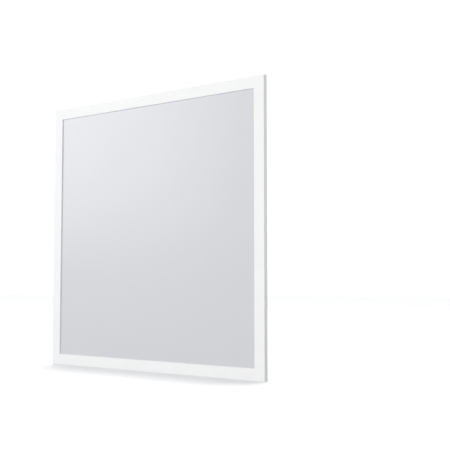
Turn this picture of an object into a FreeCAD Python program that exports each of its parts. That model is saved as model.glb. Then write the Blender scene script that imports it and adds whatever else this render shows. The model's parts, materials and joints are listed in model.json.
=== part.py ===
import FreeCAD, Part
import math
import os
import Sketcher

# A recessed LED ceiling panel for a 600 mm grid: a mitred frame of hollow rails, an opal diffuser,
# a pressed back tray, and the LED boards inside it.
#
# Every piece is drawn as it lies on a bench, face down: x runs along the width, y towards the
# panel's lower edge, z from the lit face to the back. Its Placement then stands it upright, with
# the lit face towards -Y and the origin at the bottom centre of the panel's box.

SIZES = [
    # frame rails
    ("side", 595.0),             # outer side of the square panel
    ("face_width", 24.0),        # visible face of a rail
    ("rim_width", 10.7),         # hollow rim behind the face, out to its outer edge
    ("rim_depth", 10.3),         # depth of the frame
    ("rail_wall", 1.4),          # wall of the rail's section
    ("lip_depth", 2.6),          # inner lip of the face, on which the diffuser rests
    ("ledge_width", 2.5),        # ledge beside the rim, as high as the lip
    # tongues of the rails over the tray's flange, by their distance from the middle of a side
    ("tongue_radius", 4.5),
    ("tongue_sink", 0.8),        # centre of the tongue's arc, behind the rim's edge
    ("tongue_thick", 1.4),
    ("tongue_inner", 50.0),
    ("tongue_middle", 152.0),
    ("tongue_second", 172.0),
    ("tongue_outer", 250.0),
    # corner keys
    ("key_reach", 52.0),
    ("key_play", 0.1),
    # diffuser and foam
    ("edge_gap", 0.5),           # between the rim and the diffuser and foam
    ("diffuser_thick", 1.8),
    ("foam_thick", 2.5),
    ("foam_width", 5.2),
    ("foam_gap", 0.4),           # between the ends of two strips
    # back tray
    ("sheet", 0.5),
    ("flange_radius", 2.0),
    ("flange_gap", 1.2),         # open joint between the rim and the flange
    ("wall_inset", 17.5),        # foot of the sloping wall, from the outer edge
    ("plate_inset", 45.0),       # top of the sloping wall, from the outer edge
    ("foot_radius", 9.0),
    ("plate_radius", 4.0),
    ("plate_rise", 26.0),        # plate above the frame's rear face
    ("field_raise", 1.2),
    ("field_half", 240.5),
    ("field_chamfer", 8.5),
    ("step_depth", 5.5),         # step of the field's outline beside each pocket
    ("step_run", 3.0),
    ("step_margin", 1.0),
    ("pocket_width", 49.0),
    ("pocket_height", 61.0),
    ("pocket_radius", 4.0),
    ("column_pitch", 73.3),
    ("row_pitch", 88.0),
    ("columns", 6.0),
    ("rows", 5.0),
    ("slot_chord", 3.2),         # arc slots of the flange beside the tongues
    ("slot_radius", 6.5),
    # boards and what they carry
    ("tape_thick", 0.2),
    ("tape_width", 12.0),
    ("board_thick", 1.0),
    ("board_width", 18.0),
    ("board_overhang", 19.0),    # board beyond its first and last LED
    ("chip_width", 3.5),
    ("chip_length", 2.8),
    ("chip_height", 0.7),
    ("lens_radius", 7.5),
    ("lens_rim", 1.0),
    ("lens_crown", 4.2),
    ("lens_standoff", 0.3),
    ("cavity_radius", 2.4),
    ("cavity_height", 2.6),
    ("foot_circle", 5.5),        # circle of the lens's three feet
    ("foot_size", 0.9),
    ("plug_width", 12.0),
    ("plug_length", 7.0),
    ("plug_height", 4.0),
    ("plug_margin", 1.0),
    ("wire_radius", 0.7),
    ("wire_spacing", 3.0),
    # cable bushing
    ("bushing_column", 5.0),     # column of the pocket in which it sits
    ("bushing_offset", 16.5),    # from the middle of that pocket
    ("bushing_hole", 5.6),
    ("bushing_neck", 5.5),
    ("bushing_flange", 7.0),
    ("bushing_catch", 6.2),
    ("bushing_sleeve", 4.6),
    ("bushing_bore", 2.8),
    ("bushing_inside", 6.0),
    ("catch_height", 1.4),
    # how far a cutting sketch runs beyond what it cuts
    ("cut_margin", 1.0),
]

# Levels along z, from the lit face.
HALF = "(sizes.side / 2)"
SEAM = f"({HALF} - sizes.rim_width)"
INNER = f"({SEAM} - sizes.edge_gap)"
FLANGE_HALF = f"({SEAM} - sizes.flange_gap)"
FOAM_LEVEL = "(sizes.lip_depth + sizes.diffuser_thick)"
FLANGE_LEVEL = f"({FOAM_LEVEL} + sizes.foam_thick)"
TONGUE_LEVEL = f"({FLANGE_LEVEL} + sizes.sheet)"
PLATE_LEVEL = "(sizes.rim_depth + sizes.plate_rise)"
PLATE_INSIDE = f"({PLATE_LEVEL} - sizes.sheet)"
DEPTH = f"({PLATE_LEVEL} + sizes.field_raise)"
BOARD_LEVEL = f"({PLATE_INSIDE} - sizes.tape_thick - sizes.board_thick)"
LAST_ROW = "((sizes.rows - 1) / 2 * sizes.row_pitch)"
LAST_COLUMN = "((sizes.columns - 1) / 2 * sizes.column_pitch)"
BOARD_HALF = f"({LAST_ROW} + sizes.board_overhang)"
BUSHING_PLACE = ("((sizes.bushing_column - (sizes.columns + 1) / 2) * sizes.column_pitch"
                 " + sizes.bushing_offset)")

ZERO = 1e-9          # mm, a distance that counts as nothing
LEAST_CUT = 0.01     # mm3, the smallest volume that a pocket takes away

SIDES = ("bottom", "left", "top", "right")

doc = FreeCAD.newDocument("led_panel_light")
sheet = doc.addObject("Spreadsheet::Sheet", "sizes")
for row, (alias, size) in enumerate(SIZES, start=1):
    sheet.set(f"A{row}", alias)
    sheet.set(f"B{row}", str(size))
    sheet.setAlias(f"B{row}", alias)
doc.recompute()

pieces = []


def number(formula):
    """The value of a formula over the sheet's sizes."""
    return float(sheet.evalExpression(formula))


def bind(thing, **formulas):
    """Bind properties to formulas. A double underscore stands for the dot of a nested one."""
    for name, formula in formulas.items():
        thing.setExpression(name.replace("__", "."), formula)


def stand_up(piece, label, turn=0, shift="0"):
    """Name a piece and stand it upright, turned about the panel's axis and shifted along X."""
    piece.Label = label
    upright = FreeCAD.Rotation(FreeCAD.Vector(1, 0, 0), -90)
    spin = FreeCAD.Rotation(FreeCAD.Vector(0, 0, 1), turn)
    piece.Placement = FreeCAD.Placement(FreeCAD.Vector(), upright.multiply(spin))
    bind(piece, Placement__Base__x=shift, Placement__Base__y=f"-{DEPTH} / 2",
         Placement__Base__z=HALF)
    pieces.append(piece)


def new_body(several=False):
    body = doc.addObject("PartDesign::Body", "body")
    body.AllowCompound = several
    return body


def origin_feature(body, role):
    return next(f for f in body.Origin.OriginFeatures if f.Role == role)


def new_sketch(body, plane="XY_Plane", level="0"):
    """A sketch on one of the body's origin planes, raised along the plane's normal."""
    sketch = body.newObject("Sketcher::SketchObject", "outline")
    sketch.AttachmentSupport = [(origin_feature(body, plane), "")]
    sketch.MapMode = "FlatFace"
    bind(sketch, AttachmentOffset__Base__z=level)
    return sketch


def pin_point(sketch, edge, end, x_formula, y_formula):
    """Tie a point of an edge to its two coordinates."""
    for kind, axis, formula in (("DistanceX", -2, x_formula), ("DistanceY", -1, y_formula)):
        if abs(number(formula)) < ZERO:
            sketch.addConstraint(Sketcher.Constraint("PointOnObject", edge, end, axis))
            continue
        tie = Sketcher.Constraint(kind, -1, 1, edge, end, number(formula))
        index = sketch.addConstraint(tie)
        bind(sketch, **{f"Constraints[{index}]": formula})


def add_profile(sketch, points, arcs=None):
    """A closed outline through points, counter-clockwise. arcs gives, for the number of a point,
    the radius of the arc that leads from it to the next point; a negative one bulges inwards."""
    arcs = arcs or {}
    corners = [FreeCAD.Vector(number(x), number(y), 0) for x, y in points]
    first = sketch.GeometryCount
    count = len(corners)
    for i, start in enumerate(corners):
        end = corners[(i + 1) % count]
        if i not in arcs:
            sketch.addGeometry(Part.LineSegment(start, end))
            continue
        radius = abs(number(arcs[i]))
        chord = end - start
        normal = FreeCAD.Vector(chord.y, -chord.x, 0).normalize()
        rise = radius - math.sqrt(max(radius ** 2 - (chord.Length / 2) ** 2, 0))
        bulge = rise if number(arcs[i]) > 0 else -rise
        middle = (start + end) / 2 + normal * bulge
        sketch.addGeometry(Part.Arc(start, middle, end))
    # An arc that bulges inwards runs clockwise, and a sketch stores it from its other end.
    begin = [2 if i in arcs and number(arcs[i]) < 0 else 1 for i in range(count)]
    finish = [3 - b for b in begin]
    for i in range(count):
        after = (i + 1) % count
        sketch.addConstraint(Sketcher.Constraint("Coincident", first + i, finish[i],
                                                 first + after, begin[after]))
    for i, (x, y) in enumerate(points):
        pin_point(sketch, first + i, begin[i], x, y)
    for i, radius in arcs.items():
        index = sketch.addConstraint(Sketcher.Constraint("Radius", first + i,
                                                         abs(number(radius))))
        bind(sketch, **{f"Constraints[{index}]": f"abs({radius})"})


def add_rectangle(sketch, left, bottom, right, top):
    add_profile(sketch, [(left, bottom), (right, bottom), (right, top), (left, top)])


def add_rounded_rectangle(sketch, x, y, half_width, half_height, radius):
    """A rectangle about (x, y) with four equal rounded corners."""
    west, east = f"{x} - {half_width}", f"{x} + {half_width}"
    south, north = f"{y} - {half_height}", f"{y} + {half_height}"
    points = [
        (f"{west} + {radius}", south), (f"{east} - {radius}", south),
        (east, f"{south} + {radius}"), (east, f"{north} - {radius}"),
        (f"{east} - {radius}", north), (f"{west} + {radius}", north),
        (west, f"{north} - {radius}"), (west, f"{south} + {radius}"),
    ]
    add_profile(sketch, points, {i: radius for i in (1, 3, 5, 7)})


def add_circle(sketch, x, y, radius):
    centre = FreeCAD.Vector(number(x), number(y), 0)
    edge = sketch.addGeometry(Part.Circle(centre, FreeCAD.Vector(0, 0, 1), number(radius)))
    pin_point(sketch, edge, 3, x, y)
    index = sketch.addConstraint(Sketcher.Constraint("Radius", edge, number(radius)))
    bind(sketch, **{f"Constraints[{index}]": radius})


def pad(body, sketch, length, midplane=False):
    feature = body.newObject("PartDesign::Pad", "pad")
    feature.Profile = sketch
    feature.Midplane = midplane
    bind(feature, Length=length)
    doc.recompute()
    return feature


def pocket(body, sketch, length, upwards=False):
    """Cut away from the sketch, down or up its normal, and stop if nothing is cut."""
    before = body.Shape.Volume
    feature = body.newObject("PartDesign::Pocket", "pocket")
    feature.Profile = sketch
    feature.Reversed = upwards
    bind(feature, Length=length)
    doc.recompute()
    if body.Shape.Volume > before - LEAST_CUT:
        raise RuntimeError(f"a pocket of {body.Label} cuts nothing")
    return feature


def repeat(body, feature, role, count, pitch, role2=None, count2="1", pitch2="1"):
    """Repeat a feature in a row, or in a grid of rows and columns."""
    pattern = body.newObject("PartDesign::LinearPattern", "pattern")
    pattern.Originals = [feature]
    pattern.Direction = (origin_feature(body, role), [""])
    pattern.Mode = "Spacing"
    bind(pattern, Occurrences=count, Offset=pitch)
    if role2:
        pattern.Direction2 = (origin_feature(body, role2), [""])
        pattern.Mode2 = "Spacing"
        bind(pattern, Occurrences2=count2, Offset2=pitch2)
        # A spacing of -1 stands for the common one. The first starts at 0 and would lose a row.
        pattern.Spacings2 = [-1.0] * (round(number(count2)) - 1)
    body.Tip = pattern
    doc.recompute()
    return pattern


def repeat_around(body, feature, count):
    """Repeat a feature around the panel's axis."""
    pattern = body.newObject("PartDesign::PolarPattern", "pattern")
    pattern.Originals = [feature]
    pattern.Axis = (origin_feature(body, "Z_Axis"), [""])
    pattern.Angle = 360
    pattern.Occurrences = count
    body.Tip = pattern
    doc.recompute()
    return pattern


def revolve(body, sketch):
    """Turn a profile in the XZ plane once around that sketch's vertical axis."""
    feature = body.newObject("PartDesign::Revolution", "revolution")
    feature.Profile = sketch
    feature.ReferenceAxis = (sketch, ["V_Axis"])
    feature.Angle = 360
    doc.recompute()
    return feature


def plain_box(label, x, y, z, length, width, height, turn=0, shift="0"):
    """A plain block. Its lowest corner is set inside a body so that its Placement stays free."""
    body = new_body()
    sketch = new_sketch(body, level=z)
    add_rectangle(sketch, x, y, f"{x} + {length}", f"{y} + {width}")
    pad(body, sketch, height)
    stand_up(body, label, turn, shift)


def tongue_places():
    """Distances of the tongues from the middle of a side."""
    for alias in ("inner", "middle", "second", "outer"):
        yield f"sizes.tongue_{alias}"
        yield f"-sizes.tongue_{alias}"


def make_rail(side, turn):
    """A hollow rail with mitred ends, drawn along the panel's lower edge."""
    body = new_body()
    section = new_sketch(body, "YZ_Plane")
    face_edge = f"{HALF} - sizes.face_width"
    wall = "sizes.rail_wall"
    ledge = f"{SEAM} - sizes.ledge_width"
    add_profile(section, [
        (HALF, "0"), (HALF, "sizes.rim_depth"), (SEAM, "sizes.rim_depth"),
        (SEAM, "sizes.lip_depth"), (ledge, "sizes.lip_depth"), (ledge, wall),
        (f"{face_edge} + {wall}", wall), (f"{face_edge} + {wall}", "sizes.lip_depth"),
        (face_edge, "sizes.lip_depth"), (face_edge, "0"),
    ])
    add_rectangle(section, f"{SEAM} + {wall}", wall, f"{HALF} - {wall}",
                  f"sizes.rim_depth - {wall}")
    pad(body, section, "sizes.side", midplane=True)

    tongues = new_sketch(body, level=TONGUE_LEVEL)
    root = f"{SEAM} + {wall} / 2"
    reach = "sqrt(sizes.tongue_radius ^ 2 - sizes.tongue_sink ^ 2)"
    for place in tongue_places():
        add_profile(tongues, [
            (f"{place} - {reach}", SEAM), (f"{place} + {reach}", SEAM),
            (f"{place} + {reach}", root), (f"{place} - {reach}", root),
        ], {0: "sizes.tongue_radius"})
    pad(body, tongues, "sizes.tongue_thick")

    mitres = new_sketch(body)
    inner = f"{HALF} - sizes.face_width - sizes.cut_margin"
    beyond = f"{HALF} + sizes.cut_margin"
    far_inner = f"{inner} - sizes.cut_margin"
    add_profile(mitres, [(inner, inner), (beyond, far_inner), (beyond, beyond)])
    add_profile(mitres, [(f"-({inner})", inner), (f"-({beyond})", beyond),
                         (f"-({beyond})", far_inner)])
    pocket(body, mitres, "sizes.rim_depth + sizes.cut_margin", upwards=True)
    stand_up(body, f"frame_rail_{side}", turn)


def make_corner_key(name, turn):
    """An L-shaped block that fills the hollow rims of two rails where they meet."""
    body = new_body()
    outer = f"{HALF} - sizes.rail_wall - sizes.key_play"
    inner = f"{SEAM} + sizes.rail_wall + sizes.key_play"
    end = f"{HALF} - sizes.key_reach"
    sketch = new_sketch(body, level="sizes.rail_wall + sizes.key_play")
    add_profile(sketch, [
        (end, outer), (end, inner), (inner, inner), (inner, end), (outer, end), (outer, outer),
    ])
    pad(body, sketch, "sizes.rim_depth - 2 * (sizes.rail_wall + sizes.key_play)")
    stand_up(body, name, turn)


def make_diffuser():
    plain_box("diffuser_plate", f"-{INNER}", f"-{INNER}", "sizes.lip_depth",
              f"2 * {INNER}", f"2 * {INNER}", "sizes.diffuser_thick")


def make_foam_strip(side, turn):
    """A strip along one edge, which leaves its far end free for the next strip."""
    length = f"2 * {INNER} - sizes.foam_width - sizes.foam_gap"
    plain_box(f"foam_strip_{side}", f"-{INNER}", f"{INNER} - sizes.foam_width", FOAM_LEVEL,
              length, "sizes.foam_width", "sizes.foam_thick", turn)


def add_frustum(body, kind, low, high, inset):
    """A rounded square that narrows from the tray's flange to its plate."""
    sketches = []
    for level, edge, radius in ((low, "sizes.wall_inset", "sizes.foot_radius"),
                                (high, "sizes.plate_inset", "sizes.plate_radius")):
        sketch = new_sketch(body, level=level)
        half = f"({HALF} - {edge} - {inset})"
        add_rounded_rectangle(sketch, "0", "0", half, half, f"({radius} - {inset})")
        sketches.append(sketch)
    loft = body.newObject(kind, "walls")
    loft.Profile = sketches[0]
    loft.Sections = sketches[1:]
    loft.Ruled = True
    doc.recompute()


def add_field_steps(body, pitch, last, half_pocket, turned):
    """Cut one step into the field's edge beside a pocket, and repeat it along two sides."""
    near = "(sizes.field_half - sizes.step_depth)"
    far = "(sizes.field_half + sizes.cut_margin)"
    shoulder = f"({half_pocket} + sizes.step_margin)"
    mouth = f"({shoulder} + sizes.step_run * (1 + sizes.cut_margin / sizes.step_depth))"
    sketch = new_sketch(body, level=DEPTH)
    for sign in ("", "-"):
        points = [(f"-{last} - {shoulder}", f"{sign}{near}"),
                  (f"-{last} + {shoulder}", f"{sign}{near}"),
                  (f"-{last} + {mouth}", f"{sign}{far}"),
                  (f"-{last} - {mouth}", f"{sign}{far}")]
        if turned:
            points = [(y, x) for x, y in points]
        if (sign == "-") != turned:
            points.reverse()
        add_profile(sketch, points)
    cut = pocket(body, sketch, "sizes.field_raise")
    role = "Y_Axis" if turned else "X_Axis"
    count = "sizes.rows" if turned else "sizes.columns"
    repeat(body, cut, role, count, pitch)


def make_tray():
    """The pressed tray: flange, sloping walls, plate, raised field and its pockets."""
    body = new_body()
    flange = new_sketch(body, level=FLANGE_LEVEL)
    add_rounded_rectangle(flange, "0", "0", FLANGE_HALF, FLANGE_HALF, "sizes.flange_radius")
    pad(body, flange, "sizes.sheet")

    run = "(sizes.plate_inset - sizes.wall_inset)"
    rise = f"({PLATE_LEVEL} - {TONGUE_LEVEL})"
    inset = f"(sizes.sheet * (sqrt({run} ^ 2 + {rise} ^ 2) - {run}) / {rise})"
    add_frustum(body, "PartDesign::AdditiveLoft", TONGUE_LEVEL, PLATE_LEVEL, "0")
    field = new_sketch(body, level=PLATE_LEVEL)
    edge, cut = "sizes.field_half", "(sizes.field_half - sizes.field_chamfer)"
    add_profile(field, [
        (f"-{cut}", f"-{edge}"), (cut, f"-{edge}"), (edge, f"-{cut}"), (edge, cut),
        (cut, edge), (f"-{cut}", edge), (f"-{edge}", cut), (f"-{edge}", f"-{cut}"),
    ])
    pad(body, field, "sizes.field_raise")
    add_frustum(body, "PartDesign::SubtractiveLoft", FLANGE_LEVEL, PLATE_INSIDE, inset)

    half_width, half_height = "sizes.pocket_width / 2", "sizes.pocket_height / 2"
    add_field_steps(body, "sizes.column_pitch", LAST_COLUMN, half_width, turned=False)
    add_field_steps(body, "sizes.row_pitch", LAST_ROW, half_height, turned=True)

    hollow = new_sketch(body, level=PLATE_INSIDE)
    reach = "(sizes.field_half - sizes.step_depth - sizes.sheet)"
    add_rectangle(hollow, f"-{reach}", f"-{reach}", reach, reach)
    pocket(body, hollow, "sizes.field_raise", upwards=True)

    grid = ("X_Axis", "sizes.columns", "sizes.column_pitch",
            "Y_Axis", "sizes.rows", "sizes.row_pitch")
    seat = new_sketch(body, level=PLATE_INSIDE)
    add_rounded_rectangle(seat, f"-{LAST_COLUMN}", f"-{LAST_ROW}",
                          f"({half_width} + sizes.sheet)", f"({half_height} + sizes.sheet)",
                          "(sizes.pocket_radius + sizes.sheet)")
    repeat(body, pad(body, seat, "sizes.field_raise + sizes.sheet / 2"), *grid)
    recess = new_sketch(body, level=DEPTH)
    add_rounded_rectangle(recess, f"-{LAST_COLUMN}", f"-{LAST_ROW}", f"({half_width})",
                          f"({half_height})", "sizes.pocket_radius")
    repeat(body, pocket(body, recess, "sizes.field_raise"), *grid)

    slots = new_sketch(body, level=TONGUE_LEVEL)
    chord = f"({SEAM} - sizes.slot_chord)"
    half_chord = "sqrt(sizes.slot_radius ^ 2 - sizes.slot_chord ^ 2)"
    for place in tongue_places():
        add_profile(slots, [(f"{place} - {half_chord}", chord),
                            (f"{place} + {half_chord}", chord)], {0: "sizes.slot_radius"})
    repeat_around(body, pocket(body, slots, "sizes.sheet"), 4)

    hole = new_sketch(body, level=PLATE_LEVEL)
    add_circle(hole, BUSHING_PLACE, f"-{LAST_ROW}", "sizes.bushing_hole")
    pocket(body, hole, "sizes.sheet")
    stand_up(body, "back_tray")


def make_board_set(index):
    """One LED board with its tape, LEDs, lenses and connector."""
    shift = f"({index} - (sizes.columns + 1) / 2) * sizes.column_pitch"
    plain_box(f"board_tape_{index}", "-sizes.tape_width / 2", f"-{BOARD_HALF}",
              f"{BOARD_LEVEL} + sizes.board_thick", "sizes.tape_width", f"2 * {BOARD_HALF}",
              "sizes.tape_thick", shift=shift)
    plain_box(f"led_board_{index}", "-sizes.board_width / 2", f"-{BOARD_HALF}", BOARD_LEVEL,
              "sizes.board_width", f"2 * {BOARD_HALF}", "sizes.board_thick", shift=shift)
    plain_box(f"board_connector_{index}", "-sizes.plug_width / 2",
              f"-{BOARD_HALF} + sizes.plug_margin", f"{BOARD_LEVEL} - sizes.plug_height",
              "sizes.plug_width", "sizes.plug_length", "sizes.plug_height", shift=shift)

    chips = new_body(several=True)
    chip = new_sketch(chips, level=f"{BOARD_LEVEL} - sizes.chip_height")
    add_rectangle(chip, "-sizes.chip_width / 2", f"-{LAST_ROW} - sizes.chip_length / 2",
                  "sizes.chip_width / 2", f"-{LAST_ROW} + sizes.chip_length / 2")
    package = pad(chips, chip, "sizes.chip_height")
    repeat(chips, package, "Y_Axis", "sizes.rows", "sizes.row_pitch")
    stand_up(chips, f"led_chips_{index}", shift=shift)

    lenses = new_body(several=True)
    profile = new_sketch(lenses, "XZ_Plane", level=LAST_ROW)
    base = f"({BOARD_LEVEL} - sizes.lens_standoff)"
    brim = f"({base} - sizes.lens_rim)"
    crown = "((sizes.lens_radius ^ 2 + sizes.lens_crown ^ 2) / (2 * sizes.lens_crown))"
    dome = "((sizes.cavity_radius ^ 2 + sizes.cavity_height ^ 2) / (2 * sizes.cavity_height))"
    add_profile(profile, [
        ("0", f"{brim} - sizes.lens_crown"), ("sizes.lens_radius", brim),
        ("sizes.lens_radius", base), ("sizes.cavity_radius", base),
        ("0", f"{base} - sizes.cavity_height"),
    ], {0: crown, 3: f"-{dome}"})
    glass = revolve(lenses, profile)
    feet = new_sketch(lenses, level=base)
    for foot in range(3):
        angle = f"{90 + 120 * foot} deg"
        add_circle(feet, f"sizes.foot_circle * cos({angle})",
                   f"sizes.foot_circle * sin({angle}) - {LAST_ROW}", "sizes.foot_size")
    posts = pad(lenses, feet, "sizes.lens_standoff")
    row = repeat(lenses, glass, "Y_Axis", "sizes.rows", "sizes.row_pitch")
    row.Originals = [glass, posts]
    doc.recompute()
    stand_up(lenses, f"led_lenses_{index}", shift=shift)


def make_jumper(index):
    """Two insulated wires between the connectors of two neighbouring boards."""
    wires = new_body(several=True)
    section = new_sketch(wires, "YZ_Plane")
    middle = f"(sizes.plug_margin + sizes.plug_length / 2 - {BOARD_HALF})"
    for sign in ("-", "+"):
        add_circle(section, f"{middle} {sign} sizes.wire_spacing / 2",
                   f"{BOARD_LEVEL} - sizes.plug_height / 2", "sizes.wire_radius")
    pad(wires, section, "sizes.column_pitch - sizes.plug_width", midplane=True)
    shift = f"({index} - sizes.columns / 2) * sizes.column_pitch"
    stand_up(wires, f"jumper_lead_{index}", shift=shift)


def make_bushing():
    """A snap-in bushing: flange outside, catch and sleeve inside, and a bore for the lead."""
    body = new_body()
    profile = new_sketch(body, "XZ_Plane", level=LAST_ROW)
    end = f"{PLATE_INSIDE} - sizes.bushing_inside"
    catch = f"{PLATE_INSIDE} - sizes.catch_height"
    add_profile(profile, [
        ("sizes.bushing_bore", end), ("sizes.bushing_sleeve", end),
        ("sizes.bushing_sleeve", catch), ("sizes.bushing_catch", PLATE_INSIDE),
        ("sizes.bushing_neck", PLATE_INSIDE), ("sizes.bushing_neck", PLATE_LEVEL),
        ("sizes.bushing_flange", PLATE_LEVEL), ("sizes.bushing_flange", DEPTH),
        ("sizes.bushing_bore", DEPTH),
    ])
    revolve(body, profile)
    stand_up(body, "cable_bushing", shift=BUSHING_PLACE)


for step, side in enumerate(SIDES):
    make_rail(side, 90 * step)
    make_foam_strip(side, 90 * step)
    make_corner_key(f"corner_key_{step + 1}", 90 * step)
make_diffuser()
make_tray()
column_count = round(number("sizes.columns"))
for index in range(1, column_count + 1):
    make_board_set(index)
for index in range(1, column_count):
    make_jumper(index)
make_bushing()
doc.recompute()

for thing in doc.Objects:
    if "Invalid" in thing.State or "Error" in thing.State:
        raise RuntimeError(f"{thing.Label} failed: {thing.State}")
for piece in pieces:
    if piece.Shape.isNull() or not piece.Shape.isValid():
        raise RuntimeError(f"{piece.Label} has no valid shape")

os.makedirs("parts", exist_ok=True)
for piece in pieces:
    piece.Shape.exportStep(f"parts/{piece.Label}.step")
    box = piece.Shape.BoundBox
    print(f"{piece.Label:24s} solids {len(piece.Shape.Solids):2d} volume {piece.Shape.Volume:11.1f}"
          f"  x {box.XMin:7.1f} {box.XMax:7.1f}  y {box.YMin:6.2f} {box.YMax:6.2f}"
          f"  z {box.ZMin:6.1f} {box.ZMax:6.1f}")
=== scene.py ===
import json
import math
import bmesh
import bpy
from mathutils import Matrix, Vector, noise


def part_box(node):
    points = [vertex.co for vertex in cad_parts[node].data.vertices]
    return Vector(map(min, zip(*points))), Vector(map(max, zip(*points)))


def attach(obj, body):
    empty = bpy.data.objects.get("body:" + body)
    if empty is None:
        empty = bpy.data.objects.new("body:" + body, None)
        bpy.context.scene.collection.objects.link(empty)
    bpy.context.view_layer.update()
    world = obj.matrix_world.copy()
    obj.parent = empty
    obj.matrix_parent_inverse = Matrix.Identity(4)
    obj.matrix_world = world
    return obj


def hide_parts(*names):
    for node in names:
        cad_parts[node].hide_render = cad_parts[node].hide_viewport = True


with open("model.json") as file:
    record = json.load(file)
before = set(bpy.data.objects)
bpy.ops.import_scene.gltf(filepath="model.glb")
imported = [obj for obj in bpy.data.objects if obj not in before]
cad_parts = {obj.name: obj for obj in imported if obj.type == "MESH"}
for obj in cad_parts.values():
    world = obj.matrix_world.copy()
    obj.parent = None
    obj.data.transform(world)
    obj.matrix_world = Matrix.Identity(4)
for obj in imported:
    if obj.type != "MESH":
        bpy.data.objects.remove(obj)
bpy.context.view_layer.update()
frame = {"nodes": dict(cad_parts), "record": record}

# The looks of a recessed LED ceiling panel. It stands on its lower edge with the lit face towards
# -Y. Along a rail, u is the distance inwards from the panel's outer edge and v the depth behind
# the lit face. Sizes that the frame doesn't give are in millimetres, times MM.

MM = 0.001

rail_low, rail_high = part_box("frame_rail_bottom")
tray_low, tray_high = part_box("back_tray")
plate_low, plate_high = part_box("diffuser_plate")
bushing_low, bushing_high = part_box("cable_bushing")

SIDES = ("bottom", "left", "top", "right")   # the rails, by quarter turns from the lower one

HALF = (rail_high.x - rail_low.x) / 2
CENTRE = Vector((0, 0, HALF))
FRONT = rail_low.y
FACE = rail_high.z - rail_low.z              # width of a rail's face
RIM = 10.7 * MM                              # width of the rim behind the face's outer part
RIM_DEPTH = rail_high.y - FRONT
LEDGE = 2.5 * MM                             # width of the ledge that the diffuser rests on
LIP_DEPTH = plate_low.y - FRONT              # depth of the ledge and of the face's inner lip
WALL = 1.4 * MM                              # wall of the hollow rails
TONGUE_PLACES = [sign * place * MM for place in (50, 152, 172, 250) for sign in (-1, 1)]

SHEET = 0.5 * MM                             # the tray's sheet
FLANGE = tray_low.y - FRONT + SHEET          # depth of the flange's back
FIELD = tray_high.y - FRONT                  # depth of the raised field's back
FIELD_RAISE = 1.2 * MM
PLATE = FIELD - FIELD_RAISE                  # depth of the flat plate's and the pockets' back
PRESS_WIDTH = 1.1 * MM                       # width of the slope between two levels

COLUMN_PITCH = 73.3 * MM                     # pockets, boards and LEDs about the centre
ROW_PITCH = 88 * MM
COLUMNS = [(i - 2.5) * COLUMN_PITCH for i in range(6)]
ROWS = [(i - 2) * ROW_PITCH for i in range(5)]
POCKET_HALF = (24.5 * MM, 30.5 * MM)
POCKET_RADIUS = 4 * MM

FIELD_HALF = 240.5 * MM                      # the raised field and the steps in its edge
FIELD_CHAMFER = 8.5 * MM
STEP_DEPTH = 5.5 * MM
STEP_RUN = 3 * MM
STEP_MARGIN = 1 * MM
STEP_RADIUS = 1.2 * MM


# ---- camera -----------------------------------------------------------------------------------

LENS = 66.8                                  # in millimetres, for a sensor 36 mm wide
SENSOR = 36
EYE = Vector((1193.9 * MM, FRONT - 1334.8 * MM, 192.5 * MM))
LOOK = Vector((-0.5947, 0.8012, 0.0667))


def make_camera():
    """The photograph's eye point: to the right of the panel, a little above its lower edge."""
    data = bpy.data.cameras.new("camera")
    data.lens = LENS
    data.sensor_width = SENSOR
    camera = bpy.data.objects.new("camera", data)
    camera.location = EYE
    camera.rotation_euler = LOOK.to_track_quat("-Z", "Y").to_euler()
    bpy.context.collection.objects.link(camera)
    bpy.context.scene.camera = camera


# ---- materials --------------------------------------------------------------------------------

NOISE_RANGE = (0.3, 0.7)                     # the range that most of a noise lies in


class Nodes:
    """A material's node tree, with short calls for the nodes used here."""

    def __init__(self, name):
        self.material = bpy.data.materials.new(name)
        self.material.use_nodes = True
        self.tree = self.material.node_tree
        self.shader = self.tree.nodes["Principled BSDF"]
        self.place = self.tree.nodes.new("ShaderNodeTexCoord").outputs["Object"]

    def link(self, source, target):
        self.tree.links.new(source, target)

    def noise(self, size, detail):
        """Noise whose grains are about `size` metres across."""
        node = self.tree.nodes.new("ShaderNodeTexNoise")
        node.inputs["Scale"].default_value = 1 / size
        node.inputs["Detail"].default_value = detail
        self.link(self.place, node.inputs["Vector"])
        return node.outputs["Fac"]

    def colours(self, factor, dark, light):
        ramp = self.tree.nodes.new("ShaderNodeValToRGB")
        first, last = ramp.color_ramp.elements
        first.position, last.position = NOISE_RANGE
        first.color, last.color = (*dark, 1), (*light, 1)
        self.link(factor, ramp.inputs["Fac"])
        return ramp.outputs["Color"]

    def spread(self, factor, low, high):
        """The noise's range, spread over the values from low to high."""
        node = self.tree.nodes.new("ShaderNodeMapRange")
        limits = {"From Min": NOISE_RANGE[0], "From Max": NOISE_RANGE[1],
                  "To Min": low, "To Max": high}
        for name, value in limits.items():
            node.inputs[name].default_value = value
        self.link(factor, node.inputs["Value"])
        return node.outputs["Result"]

    def bump(self, factor, height):
        node = self.tree.nodes.new("ShaderNodeBump")
        node.inputs["Strength"].default_value = 1.0
        node.inputs["Distance"].default_value = height
        self.link(factor, node.inputs["Height"])
        return node.outputs["Normal"]

    def set_values(self, **values):
        for name, value in values.items():
            self.shader.inputs[name.replace("_", " ")].default_value = value


def surface(name, dark, light, rough, patch, grain, grain_height, **values):
    """A finish with slight patches of colour, gloss that varies over a third of a patch, and a
    fine grain. Other values go to the shader's own sockets."""
    nodes = Nodes(name)
    colour = nodes.colours(nodes.noise(patch, detail=3), dark, light)
    gloss = nodes.spread(nodes.noise(patch / 3, detail=4), *rough)
    normal = nodes.bump(nodes.noise(grain, detail=2), grain_height)
    nodes.link(colour, nodes.shader.inputs["Base Color"])
    nodes.link(gloss, nodes.shader.inputs["Roughness"])
    nodes.link(normal, nodes.shader.inputs["Normal"])
    nodes.set_values(**values)
    return nodes.material


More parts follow.
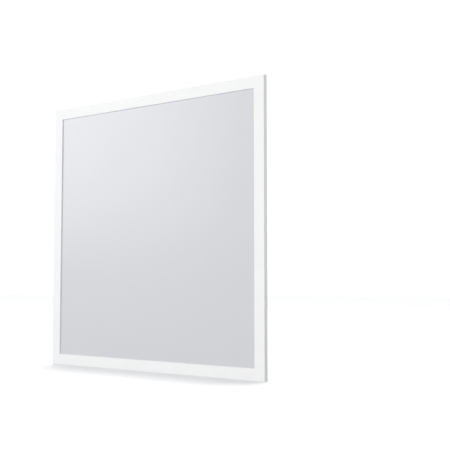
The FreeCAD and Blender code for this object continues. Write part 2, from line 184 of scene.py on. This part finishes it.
def grey(value):
    return (value, value, value)


def frame_finish():
    """White powder coat."""
    return surface("frame_powder_coat", grey(0.86), grey(0.88), rough=(0.5, 0.58),
                   patch=40 * MM, grain=0.7 * MM, grain_height=0.006 * MM,
                   Specular_IOR_Level=0.3)


def key_finish():
    """Bare die-cast zinc."""
    return surface("die_cast_key", (0.55, 0.55, 0.57), (0.66, 0.66, 0.68), rough=(0.3, 0.5),
                   patch=8 * MM, grain=0.5 * MM, grain_height=0.02 * MM, Metallic=1.0)


def diffuser_finish():
    """Unlit opal plate: a cool, even grey with a soft gloss."""
    return surface("opal_diffuser", (0.582, 0.588, 0.612), (0.587, 0.593, 0.617),
                   rough=(0.33, 0.35), patch=120 * MM, grain=0.35 * MM,
                   grain_height=0.002 * MM, Specular_IOR_Level=1.0)


def foam_and_seam_shade_finish():
    """Black foam with open cells. Where it shows in the gap along the rim's seam, its black is
    also painted shade: it stands for the shadow in that seam.
    """
    return surface("foam_strip", (0.018, 0.018, 0.02), (0.04, 0.04, 0.043), rough=(0.85, 0.95),
                   patch=2 * MM, grain=0.6 * MM, grain_height=0.2 * MM)


def tray_finish():
    """Smooth, glossy white paint on sheet metal."""
    return surface("tray_painted_sheet", grey(0.66), grey(0.68), rough=(0.20, 0.24),
                   patch=40 * MM, grain=0.6 * MM, grain_height=0.003 * MM,
                   Specular_IOR_Level=1.0)


def board_finish():
    """White solder mask."""
    return surface("board_solder_mask", (0.86, 0.86, 0.84), (0.9, 0.9, 0.89),
                   rough=(0.3, 0.42), patch=10 * MM, grain=0.4 * MM, grain_height=0.008 * MM)


def tape_finish():
    """Adhesive tape, slightly yellow."""
    return surface("board_tape", (0.7, 0.7, 0.64), (0.76, 0.76, 0.7), rough=(0.6, 0.7),
                   patch=3 * MM, grain=0.3 * MM, grain_height=0.02 * MM)


def led_finish():
    """Yellow phosphor."""
    return surface("led_phosphor", (0.9, 0.66, 0.14), (0.95, 0.76, 0.24), rough=(0.35, 0.5),
                   patch=1 * MM, grain=0.1 * MM, grain_height=0.01 * MM)


def lens_finish():
    """Clear acrylic."""
    return surface("lens_acrylic", (0.95, 0.96, 0.97), (0.97, 0.98, 0.99), rough=(0.04, 0.08),
                   patch=6 * MM, grain=1 * MM, grain_height=0.001 * MM,
                   Transmission_Weight=1.0, IOR=1.49)


def connector_finish():
    """Natural nylon."""
    return surface("connector_nylon", (0.82, 0.81, 0.77), (0.86, 0.85, 0.82),
                   rough=(0.3, 0.42), patch=4 * MM, grain=0.3 * MM, grain_height=0.006 * MM)


def wire_finish():
    """Light grey insulation."""
    return surface("wire_insulation", grey(0.78), grey(0.84), rough=(0.35, 0.45),
                   patch=5 * MM, grain=0.3 * MM, grain_height=0.004 * MM)


def bushing_finish():
    """White nylon."""
    return surface("bushing_nylon", (0.78, 0.78, 0.77), (0.82, 0.82, 0.81),
                   rough=(0.38, 0.48), patch=5 * MM, grain=0.35 * MM, grain_height=0.01 * MM)


def make_materials():
    """A material for each of the record's slots."""
    return {
        "frame": frame_finish(),
        "key": key_finish(),
        "diffuser": diffuser_finish(),
        "foam": foam_and_seam_shade_finish(),
        "tray": tray_finish(),
        "board": board_finish(),
        "tape": tape_finish(),
        "led": led_finish(),
        "lens": lens_finish(),
        "connector": connector_finish(),
        "wire": wire_finish(),
        "bushing": bushing_finish(),
    }


# ---- mesh helpers -----------------------------------------------------------------------------

def rounded(corners, radii, closed=True, steps=4, flank=0):
    """An outline whose corners are replaced by arcs. A flank adds a point at that distance
    before and after each arc, so that the flat faces between arcs are shaded flat."""
    outline = []
    count = len(corners)
    for i, (corner, radius) in enumerate(zip(corners, radii)):
        corner = Vector(corner)
        if not radius or (not closed and i in (0, count - 1)):
            outline.append(corner)
            continue
        back = (Vector(corners[i - 1]) - corner).normalized()
        ahead = (Vector(corners[(i + 1) % count]) - corner).normalized()
        half_angle = back.angle(ahead) / 2
        centre = corner + (back + ahead).normalized() * (radius / math.sin(half_angle))
        reach = radius / math.tan(half_angle)
        start = corner + back * reach - centre
        end = corner + ahead * reach - centre
        first = math.atan2(start.y, start.x)
        sweep = math.remainder(math.atan2(end.y, end.x) - first, math.tau)
        if flank:
            outline.append(corner + back * (reach + flank))
        for step in range(steps + 1):
            angle = first + sweep * step / steps
            outline.append(centre + radius * Vector((math.cos(angle), math.sin(angle))))
        if flank:
            outline.append(corner + ahead * (reach + flank))
    return outline


def moved(corners, radius, offset):
    """An outline's corners, counterclockwise, moved outwards by an offset, and their radii."""
    places, radii = [], []
    for i, corner in enumerate(corners):
        before = (corner - corners[i - 1]).normalized()
        after = (corners[(i + 1) % len(corners)] - corner).normalized()
        normals = Vector((before.y, -before.x)), Vector((after.y, -after.x))
        mitre = (normals[0] + normals[1]) / (1 + normals[0].dot(normals[1]))
        places.append(corner + offset * mitre)
        convex = before.x * after.y - before.y * after.x > 0
        radii.append(radius + (offset if convex else -offset))
    return places, radii


def circle(x, z, radius, count):
    """Points of a circle about a point of the panel."""
    angles = [math.tau * i / count for i in range(count)]
    return [(x + radius * math.cos(a), z + radius * math.sin(a)) for a in angles]


def rectangle(x, z, half_width, half_height):
    """Corners of a rectangle about a point of the panel, counterclockwise."""
    return [Vector((x + a * half_width, z + b * half_height))
            for a, b in ((1, -1), (1, 1), (-1, 1), (-1, -1))]


def add_loop(bm, outline, y):
    """Vertices over an outline of (x, z) points."""
    return [bm.verts.new((x, y, z)) for x, z in outline]


def join_loops(bm, first, second):
    """Quads between two closed loops of as many vertices."""
    for i in range(len(first)):
        j = (i + 1) % len(first)
        bm.faces.new((first[i], first[j], second[j], second[i]))


def join_stack(bm, loops, capped=True):
    """Quads between each loop and the next, and a face over each end if it is capped."""
    for first, second in zip(loops, loops[1:]):
        join_loops(bm, first, second)
    if capped:
        bm.faces.new(loops[0])
        bm.faces.new(loops[-1])


def fill_flat(bm, *loops):
    """Fill a flat region inside the first loop and outside the others."""
    edges = [bm.edges.get((loop[i - 1], loop[i])) for loop in loops for i in range(len(loop))]
    bmesh.ops.triangle_fill(bm, use_beauty=True, edges=edges)


def add_block(bm, corners, front, back, radius, ease):
    """A closed block over an outline of (x, z) corners, with rounded edges."""
    steps = 3
    angles = [math.pi / 2 * step / steps for step in range(steps + 1)]
    levels = [(front + ease * (1 - math.cos(a)), -ease * (1 - math.sin(a))) for a in angles]
    levels += [(back - ease * (1 - math.cos(a)), -ease * (1 - math.sin(a)))
               for a in reversed(angles)]
    join_stack(bm, [add_loop(bm, rounded(*moved(corners, radius, offset)), y)
                    for y, offset in levels])


def add_prism(bm, outline, front, back):
    """A closed prism over an outline of (x, z) points."""
    join_stack(bm, [add_loop(bm, outline, y) for y in (front, back)])


def turned(turn):
    """Turn about the panel's own axis, by quarter turns from the lower edge to the left one."""
    spin = Matrix.Rotation(math.radians(90 * turn), 4, "Y")
    return Matrix.Translation(CENTRE) @ spin @ Matrix.Translation(-CENTRE)


def new_object(name, bm):
    """Make a bmesh into an object of the scene."""
    mesh = bpy.data.meshes.new(name)
    bm.to_mesh(mesh)
    bm.free()
    made = bpy.data.objects.new(name, mesh)
    bpy.context.collection.objects.link(made)
    return made


def finish_piece(piece, slot, nodes, sharp=35):
    """Shade a piece that stands for CAD nodes, and give it their slot's material. Edges that
    bend by more than `sharp` degrees stay sharp."""
    piece.data.shade_smooth()
    piece.data.set_sharp_from_angle(angle=math.radians(sharp))
    piece.data.materials.clear()
    piece.data.materials.append(materials[slot])
    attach(piece, "root")
    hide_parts(*nodes)


def place_piece(name, bm, slot, nodes, sharp=35):
    """Make a closed bmesh into a finished piece."""
    bmesh.ops.recalc_face_normals(bm, faces=bm.faces)
    piece = new_object(name, bm)
    finish_piece(piece, slot, nodes, sharp)
    return piece


def apply_modifiers(piece):
    shown = piece.evaluated_get(bpy.context.evaluated_depsgraph_get())
    mesh = bpy.data.meshes.new_from_object(shown)
    piece.modifiers.clear()
    piece.data = mesh


# ---- frame rails ------------------------------------------------------------------------------

def add_tongue(bm, place):
    """A half-round tongue of the rim, over the tray's flange, with a rounded upper edge. Its arc
    runs a little past a half turn, into the rim."""
    radius, sink, thick, edge = 4.5 * MM, 0.8 * MM, 1.4 * MM, 0.4 * MM
    past, steps, edge_steps = 0.35, 24, 3
    angles = [-past + (math.pi + 2 * past) * step / steps for step in range(steps + 1)]
    levels = [(0, 0)]
    for step in range(edge_steps + 1):
        around = math.pi / 2 * step / edge_steps
        levels.append((thick - edge + edge * math.sin(around), edge * (1 - math.cos(around))))
    loops = []
    for rise, inset in levels:
        outline = [(place + (radius - inset) * math.cos(a),
                    RIM - sink + (radius - inset) * math.sin(a)) for a in angles]
        loops.append(add_loop(bm, outline, FRONT + FLANGE + rise))
    join_stack(bm, loops)


def rail_outlines():
    """A rail's section and the chamber inside it, as (u, v) points."""
    soft, lip, fine, flank = 0.6 * MM, 0.45 * MM, 0.3 * MM, 0.2 * MM
    section = [
        ((0, 0), soft), ((FACE, 0), lip), ((FACE, LIP_DEPTH), fine),
        ((FACE - WALL, LIP_DEPTH), fine), ((FACE - WALL, WALL), fine),
        ((RIM + LEDGE, WALL), fine), ((RIM + LEDGE, LIP_DEPTH), fine),
        ((RIM, LIP_DEPTH), fine), ((RIM, RIM_DEPTH), fine), ((0, RIM_DEPTH), soft),
    ]
    chamber = [
        ((WALL, WALL), fine), ((RIM - WALL, WALL), fine),
        ((RIM - WALL, RIM_DEPTH - WALL), fine), ((WALL, RIM_DEPTH - WALL), fine),
    ]
    return [rounded(*zip(*corners), flank=flank) for corners in (section, chamber)]


def make_rail(side, turn):
    """A hollow rail with mitred ends and softened edges."""
    bm = bmesh.new()
    pairs = []
    for outline in rail_outlines():
        ends = [[bm.verts.new((end * (HALF - u), FRONT + v, u)) for u, v in outline]
                for end in (-1, 1)]
        join_loops(bm, *ends)
        pairs.append(ends)
    for loops in zip(*pairs):
        fill_flat(bm, *loops)
    for place in TONGUE_PLACES:
        add_tongue(bm, place)
    bmesh.ops.transform(bm, matrix=turned(turn), verts=bm.verts)
    place_piece(f"rail_{side}", bm, "frame", [f"frame_rail_{side}"])


# ---- diffuser ---------------------------------------------------------------------------------

def panel_loop(bm, outline, depth):
    """Vertices over an outline about the panel's centre, at a depth behind the lit face."""
    return add_loop(bm, [(x, HALF + z) for x, z in outline], FRONT + depth)


def square_loop(bm, half, radius, depth):
    corners = [(half, -half), (half, half), (-half, half), (-half, -half)]
    return panel_loop(bm, rounded(corners, [radius] * 4, steps=6), depth)


def make_diffuser():
    """The opal plate, with eased edges."""
    half, ease, corner = plate_high.x, 0.35 * MM, 1.2 * MM
    inner = half - 3 * MM
    low, high = plate_low.y - FRONT, plate_high.y - FRONT
    profile = rounded([(inner, low), (half, low), (half, high), (inner, high)],
                      [0, ease, ease, 0], closed=False, flank=0.3 * MM)
    bm = bmesh.new()
    # The profile's own ends lie on the flat faces, which need no loop there.
    join_stack(bm, [square_loop(bm, reach, reach - half + corner, depth)
                    for reach, depth in profile[1:-1]])
    place_piece("diffuser", bm, "diffuser", ["diffuser_plate"])


# ---- foam strips ------------------------------------------------------------------------------

def strip_outline(length, width, corner):
    """A strip's outline from half its length and half its width, with points all along it."""
    count = 180
    run = [(2 * i / count - 1) * (length - corner) for i in range(1, count)]
    ends = rounded([(length, -width), (length, width), (-length, width), (-length, -width)],
                   [corner] * 4)
    half = len(ends) // 2
    return (ends[:half] + [Vector((-place, width)) for place in run]
            + ends[half:] + [Vector((place, -width)) for place in run])


def make_foam_strip(side):
    """A strip squeezed flat between the diffuser and the tray's flange. Its sides and ends bulge
    halfway through its depth, a little unevenly along its length."""
    node = f"foam_strip_{side}"
    low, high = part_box(node)
    middle, reach = (low + high) / 2, (high - low) / 2
    upright = reach.z > reach.x
    length, width = (reach.z, reach.x) if upright else (reach.x, reach.z)
    corner, bulge, uneven, wave = 0.7 * MM, 0.35 * MM, 0.15 * MM, 11 * MM
    outline = strip_outline(length, width, corner)
    levels, seed = 8, len(side)   # the seed makes each side's waves its own
    bm = bmesh.new()
    loops = []
    for level in range(levels + 1):
        t = 2 * level / levels - 1
        points = []
        for i, point in enumerate(outline):
            along = (outline[(i + 1) % len(outline)] - outline[i - 1]).normalized()
            ripple = noise.noise((point.x / wave, point.y / MM, seed))
            inset = bulge * t * t + uneven * (1 + ripple) / 2
            a, b = point - inset * Vector((along.y, -along.x))
            x, z = (b, a) if upright else (a, b)
            points.append((middle.x + x, middle.z + z))
        loops.append(add_loop(bm, points, middle.y + t * reach.y))
    join_stack(bm, loops)
    strip = place_piece(f"foam_{side}", bm, "foam", [node], sharp=50)


# ---- back tray --------------------------------------------------------------------------------

def field_loop(bm, offset, depth):
    """The field's edge, which steps in beside each pocket, moved outwards by an offset."""
    corners = []
    for side in range(4):
        upright = side % 2 == 0
        reach = STEP_MARGIN + (POCKET_HALF[1] if upright else POCKET_HALF[0])
        end = FIELD_HALF - FIELD_CHAMFER
        line = [(-end, FIELD_HALF)]
        for centre in (ROWS if upright else COLUMNS):
            line += [(centre - reach - STEP_RUN, FIELD_HALF),
                     (centre - reach, FIELD_HALF - STEP_DEPTH),
                     (centre + reach, FIELD_HALF - STEP_DEPTH),
                     (centre + reach + STEP_RUN, FIELD_HALF)]
        line.append((end, FIELD_HALF))
        cos, sin = round(math.cos(side * math.pi / 2)), round(math.sin(side * math.pi / 2))
        corners += [Vector((d * cos - t * sin, d * sin + t * cos)) for t, d in line]
    return panel_loop(bm, rounded(*moved(corners, STEP_RADIUS, offset), steps=5), depth)


def pocket_loop(bm, centre, offset, depth):
    """A pocket's edge, moved outwards by an offset."""
    width, height = POCKET_HALF[0] + offset, POCKET_HALF[1] + offset
    corners = rectangle(*centre, width, height)
    return panel_loop(bm, rounded(corners, [POCKET_RADIUS + offset] * 4, steps=7), depth)


def add_slope(bm, make_loop, raised):
    """The slope between two levels of the plate, with a flat margin on each side of it. Its
    outer side is the high one if raised, and the low one otherwise."""
    steps, margin = 8, 0.4
    levels = [(0.5 + margin, 0)]
    for i in range(steps + 1):
        t = i / steps
        levels.append((0.5 - t, t * t * (3 - 2 * t)))
    levels.append((-0.5 - margin, 1))
    loops = []
    for shift, share in levels:
        rise = 1 - share if raised else share
        loops.append(make_loop(shift * PRESS_WIDTH, PLATE + rise * FIELD_RAISE))
    join_stack(bm, loops, capped=False)
    return loops[0], loops[-1]


def corner_radius(half, stations):
    """A square loop's corner radius, between those of the stations next to it. A station is a
    half width and its corner radius."""
    for (near, near_radius), (far, far_radius) in zip(stations, stations[1:]):
        if half <= far:
            share = (half - near) / (far - near)
            return near_radius + share * (far_radius - near_radius)


def add_walls(bm):
    """The flat plate's border, the sloping walls and the flange. Returns the innermost loop."""
    inner, crown, foot = HALF - 49 * MM, HALF - 45 * MM, HALF - 17.5 * MM
    flange = tray_high.x
    crown_bend, foot_bend = 3 * MM, 2 * MM
    stations = ((inner, 3 * MM), (crown, 4.5 * MM), (foot, 10 * MM), (flange, 2 * MM))
    profile = rounded([(inner, PLATE), (crown, PLATE), (foot, FLANGE), (flange, FLANGE)],
                      [0, crown_bend, foot_bend, 0], closed=False, steps=6, flank=0.4 * MM)
    loops = [square_loop(bm, half, corner_radius(half, stations), depth)
             for half, depth in profile]
    join_stack(bm, loops, capped=False)
    return loops[0]


def add_plate(bm, border):
    """The flat plate inside a border, its raised field and the pockets in the field."""
    field_edge, field_top = add_slope(
        bm, lambda offset, depth: field_loop(bm, offset, depth), raised=False)
    fill_flat(bm, border, field_edge)
    mouths = []
    for x in COLUMNS:
        for z in ROWS:
            mouth, floor = add_slope(
                bm, lambda offset, depth: pocket_loop(bm, (x, z), offset, depth), raised=True)
            mouths.append(mouth)
            bm.faces.new(floor)
    fill_flat(bm, field_top, *mouths)


def face_backwards(bm):
    """Turn an open sheet's faces to the panel's back, so that its thickness goes forwards."""
    bmesh.ops.recalc_face_normals(bm, faces=bm.faces)
    if sum(face.normal.y * face.calc_area() for face in bm.faces) < 0:
        bmesh.ops.reverse_faces(bm, faces=bm.faces)


def make_tray_cutter():
    """Prisms that cut the arc slots beside the tongues and the bushing's hole."""
    radius, chord, steps = 6.5 * MM, 3.2 * MM, 12
    hole_radius, hole_points, clear = 5.6 * MM, 48, 2 * MM
    opening = math.acos(chord / radius)
    angles = [-opening + 2 * opening * step / steps for step in range(steps + 1)]
    bm = bmesh.new()
    for turn in range(len(SIDES)):
        before = len(bm.verts)
        for place in TONGUE_PLACES:
            slot = [(place + radius * math.sin(a), RIM + radius * math.cos(a)) for a in angles]
            add_prism(bm, slot, FRONT + FLANGE - clear, FRONT + FLANGE + clear / 2)
        bm.verts.ensure_lookup_table()
        bmesh.ops.transform(bm, matrix=turned(turn), verts=bm.verts[before:])
    middle = (bushing_low + bushing_high) / 2
    add_prism(bm, circle(middle.x, middle.z, hole_radius, hole_points),
              FRONT + PLATE - clear, FRONT + PLATE + clear)
    bmesh.ops.recalc_face_normals(bm, faces=bm.faces)
    return new_object("tray_cutter", bm)


def make_tray():
    """The pressed sheet: flange, sloping walls, and a plate with a raised field and pockets."""
    bm = bmesh.new()
    add_plate(bm, add_walls(bm))
    face_backwards(bm)
    tray = new_object("tray", bm)
    solid = tray.modifiers.new("thickness", "SOLIDIFY")
    solid.thickness = SHEET
    solid.offset = -1
    cutter = make_tray_cutter()
    cut = tray.modifiers.new("openings", "BOOLEAN")
    cut.operation = "DIFFERENCE"
    cut.solver = "EXACT"
    cut.object = cutter
    apply_modifiers(tray)
    bpy.data.objects.remove(cutter)
    finish_piece(tray, "tray", ["back_tray"], sharp=40)


# ---- cable bushing ----------------------------------------------------------------------------

def bushing_section():
    """The bushing's section, as (radius, y) points from the bore's inner end."""
    inside, plate, back = bushing_low.y, FRONT + PLATE, bushing_high.y
    bore, sleeve, neck, catch, flange = 2.8 * MM, 4.6 * MM, 5.5 * MM, 6.2 * MM, 7 * MM
    catch_back, catch_length = plate - SHEET, 1.4 * MM
    fine, sharp, crown, mouth = 0.3 * MM, 0.1 * MM, 0.6 * MM, 0.5 * MM
    corners = [
        ((bore, inside), fine), ((sleeve, inside), fine),
        ((sleeve, catch_back - catch_length), fine), ((catch, catch_back), sharp),
        ((neck, catch_back), 0), ((neck, plate), 0), ((flange, plate), fine),
        ((flange, back), crown), ((bore, back), mouth),
    ]
    return rounded(*zip(*corners), steps=5, flank=0.1 * MM)


def make_bushing():
    """A turned snap-in bushing with a rounded flange and a flared mouth."""
    middle = (bushing_low + bushing_high) / 2
    section = bushing_section()
    count = 64
    bm = bmesh.new()
    ribs = []
    for i in range(count):
        angle = math.tau * i / count
        ribs.append([bm.verts.new((middle.x + r * math.cos(angle), y,
                                   middle.z + r * math.sin(angle))) for r, y in section])
    for i in range(count):
        join_loops(bm, ribs[i], ribs[(i + 1) % count])
    place_piece("bushing", bm, "bushing", ["cable_bushing"])


# ---- inner pieces -----------------------------------------------------------------------------

def box_outline(low, high):
    """Corners of a node's box, seen from the front."""
    middle, reach = (low + high) / 2, (high - low) / 2
    return rectangle(middle.x, middle.z, reach.x, reach.z)


def key_outline(reach, arm):
    """An angle's outline from its outer corner, with shallow teeth along both outer edges."""
    first, pitch, count, tooth, depth = 12 * MM, 4 * MM, 9, 1.5 * MM, 0.5 * MM
    edge = []
    for i in range(count):
        place = first + pitch * i
        edge += [(place, 0), (place + tooth / 2, depth), (place + tooth, 0)]
    return ([(0, 0)] + edge + [(reach, 0), (reach, arm), (arm, arm), (arm, reach), (0, reach)]
            + [(q, p) for p, q in reversed(edge)])


def make_corner_key(number):
    """A die-cast angle, in two rails' chambers."""
    node = f"corner_key_{number}"
    low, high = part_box(node)
    right, upper = low.x > 0, low.z > HALF
    clearance, ease, blunt = 0.1 * MM, 0.2 * MM, 0.05 * MM
    arm = RIM - 2 * WALL - 2 * clearance
    corners = [Vector((high.x - p if right else low.x + p, high.z - q if upper else low.z + q))
               for p, q in key_outline(high.x - low.x, arm)]
    if right != upper:
        corners.reverse()
    bm = bmesh.new()
    add_block(bm, corners, low.y, high.y, radius=ease + blunt, ease=ease)
    place_piece(f"key_{number}", bm, "key", [node])


def make_board(number):
    """A board with rounded corners, and a copper pad at each end of each LED."""
    node = f"led_board_{number}"
    low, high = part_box(node)
    pad_place, pad_width, pad_height = 2.7 * MM, 0.8 * MM, 1.3 * MM
    pad_front, pad_back = low.y - 0.05 * MM, low.y + 0.1 * MM
    bm = bmesh.new()
    add_block(bm, box_outline(low, high), low.y, high.y, radius=1 * MM, ease=0.08 * MM)
    for row in ROWS:
        for sign in (-1, 1):
            x = (low.x + high.x) / 2 + sign * pad_place
            add_block(bm, rectangle(x, HALF + row, pad_width, pad_height), pad_front, pad_back,
                      radius=0.2 * MM, ease=0.03 * MM)
    place_piece(f"board_{number}", bm, "board", [node])


def make_tape(number):
    """A strip of tape with rounded corners."""
    node = f"board_tape_{number}"
    low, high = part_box(node)
    bm = bmesh.new()
    add_block(bm, box_outline(low, high), low.y, high.y, radius=0.6 * MM, ease=0.05 * MM)
    place_piece(f"tape_{number}", bm, "tape", [node])


def make_connector(number):
    """A housing with two ribs on its face, and a collar around each wire's way in."""
    node = f"board_connector_{number}"
    low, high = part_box(node)
    middle, reach = (low + high) / 2, (high - low) / 2
    rib_rise, rib_length, rib_width = 0.35 * MM, 0.6 * reach.x, 0.5 * MM
    wire_place, collar_length, collar_width = 1.5 * MM, 0.5 * MM, 1.2 * MM
    housing_end = reach.x - collar_length
    bm = bmesh.new()
    add_block(bm, rectangle(middle.x, middle.z, housing_end, reach.z),
              low.y + rib_rise, high.y, radius=0.5 * MM, ease=0.25 * MM)
    for sign in (-1, 1):
        rib = rectangle(middle.x, middle.z + sign * reach.z / 2, rib_length, rib_width)
        add_block(bm, rib, low.y, middle.y, radius=0.3 * MM, ease=0.2 * MM)
        for end in (-1, 1):
            collar = rectangle(middle.x + end * housing_end, middle.z + sign * wire_place,
                               collar_length, collar_width)
            add_block(bm, collar, middle.y - collar_width, middle.y + collar_width,
                      radius=0.3 * MM, ease=0.15 * MM)
    place_piece(f"connector_{number}", bm, "connector", [node])


def make_leds(number):
    """Packages with rounded corners and a sunken window."""
    node = f"led_chips_{number}"
    low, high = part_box(node)
    x, width, height = (low.x + high.x) / 2, (high.x - low.x) / 2, 1.4 * MM
    corner, ease, bevel = 0.2 * MM, 0.1 * MM, 0.03 * MM
    lip, window_slope, window_depth = 0.4 * MM, 0.15 * MM, 0.25 * MM
    levels = [(0, high.y), (0, low.y + ease), (bevel, low.y + bevel), (ease, low.y),
              (lip, low.y), (lip + window_slope, low.y + window_depth)]
    bm = bmesh.new()
    for row in ROWS:
        loops = []
        for inset, y in levels:
            corners = rectangle(x, HALF + row, width - inset, height - inset)
            loops.append(add_loop(bm, rounded(corners, [corner + inset / 2] * 4), y))
        join_stack(bm, loops)
    place_piece(f"leds_{number}", bm, "led", [node])


def cap(radius, height):
    """Radius and depth of points down a spherical cap, without its pole."""
    steps = 14
    sphere = (radius * radius + height * height) / (2 * height)
    sweep = math.acos((sphere - height) / sphere)
    return [(sphere * math.sin(sweep * i / steps), sphere * (1 - math.cos(sweep * i / steps)))
            for i in range(1, steps + 1)]


def add_lens(bm, x, z, radius, front, base):
    """A turned lens: a dome with an upright rim, and a hollow over the LED."""
    rim, hollow_radius, hollow, fine, count = 1 * MM, 2.4 * MM, 2.6 * MM, 0.15 * MM, 48
    dome = [(r, front + depth) for r, depth in cap(radius, base - front - rim)]
    inside = [(r, base - hollow + depth) for r, depth in cap(hollow_radius, hollow)]
    corners = dome + [(radius, base)] + inside[::-1]
    radii = [0] * (len(dome) - 1) + [fine, fine, fine] + [0] * (len(inside) - 1)
    section = rounded(corners, radii, closed=False, flank=0.05 * MM)
    rings = [add_loop(bm, circle(x, z, r, count), y) for r, y in section]
    join_stack(bm, rings, capped=False)
    for ring, y in ((rings[0], front), (rings[-1], base - hollow)):
        pole = bm.verts.new((x, y, z))
        for i in range(count):
            bm.faces.new((ring[i - 1], ring[i], pole))


def add_feet(bm, x, z, front, back):
    """Three round feet about a lens's axis, one of them straight below it."""
    around, radius, count = 5.5 * MM, 0.9 * MM, 24
    for turn in range(3):
        angle = math.radians(270 + 120 * turn)
        foot = circle(x + around * math.cos(angle), z + around * math.sin(angle), radius, count)
        add_prism(bm, foot, front, back)


def make_lenses(number):
    """Domed lenses with a hollow over each LED, each on three round feet."""
    node = f"led_lenses_{number}"
    low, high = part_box(node)
    x, radius = (low.x + high.x) / 2, (high.x - low.x) / 2
    foot_rise, foot_sink = 0.3 * MM, 0.2 * MM
    base = high.y - foot_rise
    bm = bmesh.new()
    for row in ROWS:
        add_lens(bm, x, HALF + row, radius, low.y, base)
        add_feet(bm, x, HALF + row, base - foot_sink, high.y)
    place_piece(f"lenses_{number}", bm, "lens", [node])


def dress_cad_nodes():
    """The jumper leads stay as the CAD made them, in their slot's material."""
    slots = {part["node"]: part["material_slot"] for part in frame["record"]["subparts"]}
    for name, node in frame["nodes"].items():
        if not node.hide_render:
            node.data.materials.clear()
            node.data.materials.append(materials[slots[name]])


# ---- studio -----------------------------------------------------------------------------------

def add_light(name, kind, place, target, power):
    """A light that looks from its place at a target."""
    data = bpy.data.lights.new(name, kind)
    data.energy = power
    light = bpy.data.objects.new(name, data)
    light.location = place
    light.rotation_euler = (Vector(target) - Vector(place)).to_track_quat("-Z", "Y").to_euler()
    bpy.context.collection.objects.link(light)
    return data


def add_softbox(name, place, size, power):
    """A square softbox that looks at the panel's centre."""
    data = add_light(name, "AREA", place, CENTRE, power)
    data.shape = "SQUARE"
    data.size = size


def make_floor():
    """A wide, plain pale floor."""
    bm = bmesh.new()
    bmesh.ops.create_grid(bm, x_segments=8, y_segments=8, size=8)
    floor = new_object("floor", bm)
    floor.data.materials.append(surface("floor_paint", grey(0.94), grey(0.95),
                                        rough=(0.7, 0.8), patch=400 * MM, grain=3 * MM,
                                        grain_height=0.01 * MM))
    # Off the floor comes no diffuse light, so that the panel's lower parts are lit evenly.
    floor.visible_diffuse = False


def add_background(tree, colour, strength):
    node = tree.nodes.new("ShaderNodeBackground")
    node.inputs["Color"].default_value = (*colour, 1)
    node.inputs["Strength"].default_value = strength
    return node.outputs["Background"]


def make_world():
    """A bright backdrop for the camera, and a softer, even light for everything else."""
    world = bpy.data.worlds.new("studio")
    world.use_nodes = True
    tree = world.node_tree
    tree.nodes.remove(tree.nodes["Background"])
    light = add_background(tree, colour=(0.97, 0.98, 1.0), strength=0.4)
    seen = add_background(tree, colour=grey(1), strength=1.05)
    path = tree.nodes.new("ShaderNodeLightPath")
    mix = tree.nodes.new("ShaderNodeMixShader")
    tree.links.new(path.outputs["Is Camera Ray"], mix.inputs["Fac"])
    tree.links.new(light, mix.inputs[1])
    tree.links.new(seen, mix.inputs[2])
    tree.links.new(mix.outputs["Shader"], tree.nodes["World Output"].inputs["Surface"])
    bpy.context.scene.world = world


def make_studio():
    """Soft light from above, two softboxes for the front and one for the back, and an even pale
    surround. Places and sizes are in metres, and powers in watts, or W/m2 for the overhead."""
    make_world()
    make_floor()
    overhead = add_light("overhead", "SUN", place=(-0.2, 0.34, 2), target=(0, 0, 0), power=2.2)
    overhead.angle = math.radians(20)
    add_softbox("front_key", place=(-2.5, -2.05, 1.4), size=2.0, power=40)
    add_softbox("front_fill", place=(0.7, -3.2, 0.3), size=1.6, power=76)
    add_softbox("back_key", place=(1.6, 2.6, 0.8), size=1.4, power=32)


# ---- the scene --------------------------------------------------------------------------------

make_camera()
materials = make_materials()
for turn, side in enumerate(SIDES):
    make_rail(side, turn)
make_diffuser()
for side in SIDES:
    make_foam_strip(side)
make_tray()
make_bushing()
for number in range(1, len(SIDES) + 1):
    make_corner_key(number)
for number in range(1, len(COLUMNS) + 1):
    make_board(number)
    make_tape(number)
    make_connector(number)
    make_leds(number)
    make_lenses(number)
dress_cad_nodes()
make_studio()
bpy.context.scene.view_settings.view_transform = "Standard"
